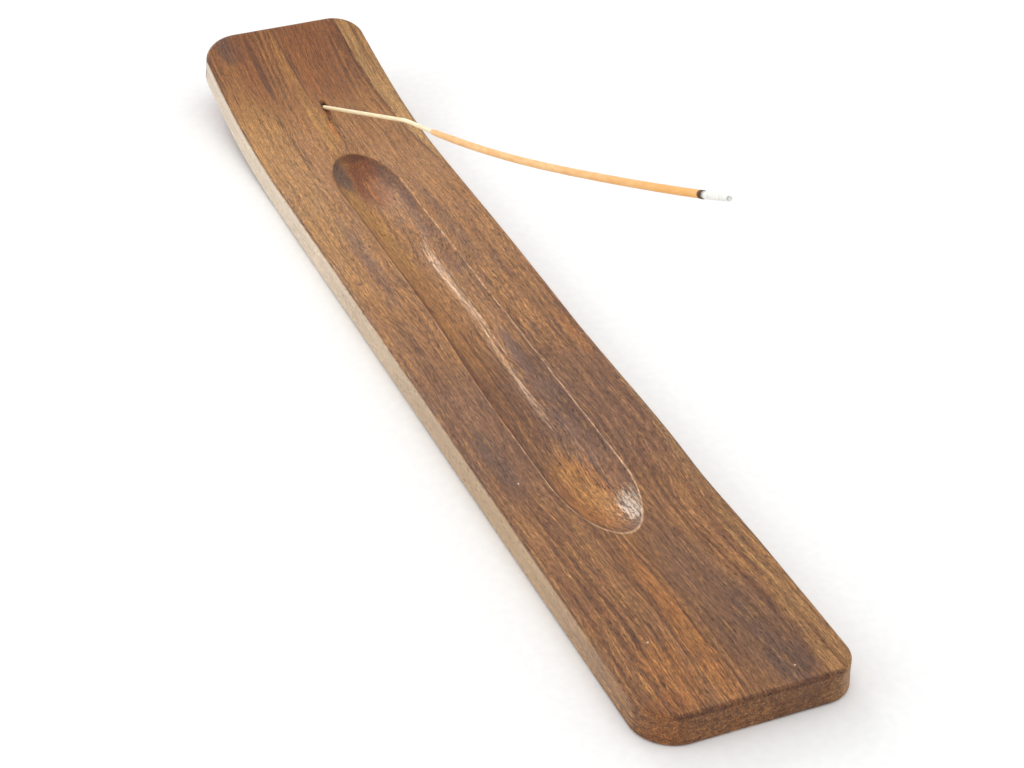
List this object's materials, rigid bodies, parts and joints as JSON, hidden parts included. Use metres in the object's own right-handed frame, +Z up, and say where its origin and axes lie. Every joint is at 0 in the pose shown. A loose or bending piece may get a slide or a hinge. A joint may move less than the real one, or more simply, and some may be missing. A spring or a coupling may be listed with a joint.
{
  "type": "incense burner",
  "caption": "Long flat wooden incense stick holder with one upturned end, a shallow ash trough and a lit stick leaning over it.",
  "frame": {"origin": "bottom centre of the object's box, on the flat underside that the board rests on", "axes": "+X along the board from its upturned end to its flat end, +Y across the board, +Z up"},
  "size_m": [0.2526, 0.04, 0.0877],
  "materials": {
    "board_wood": "satin lacquered sheesham-like hardwood, brown with dark and golden streaks",
    "bamboo": "raw pale bamboo",
    "incense_paste": "matt orange-tan rolled wood-powder paste",
    "char": "matt black char",
    "ash": "powdery pale grey ash"
  },
  "bodies": {
    "board": {"board": "board_wood"},
    "stick": {"bamboo_core": "bamboo", "incense_coating": "incense_paste", "char_ring": "char", "ash_tip": "ash"}
  },
  "joints": [
    {"name": "stick_lift", "type": "slide", "parent": "board", "child": "stick", "axis": [0.9225, 0, 0.3859], "range_m": [0, 0.03]}
  ]
}
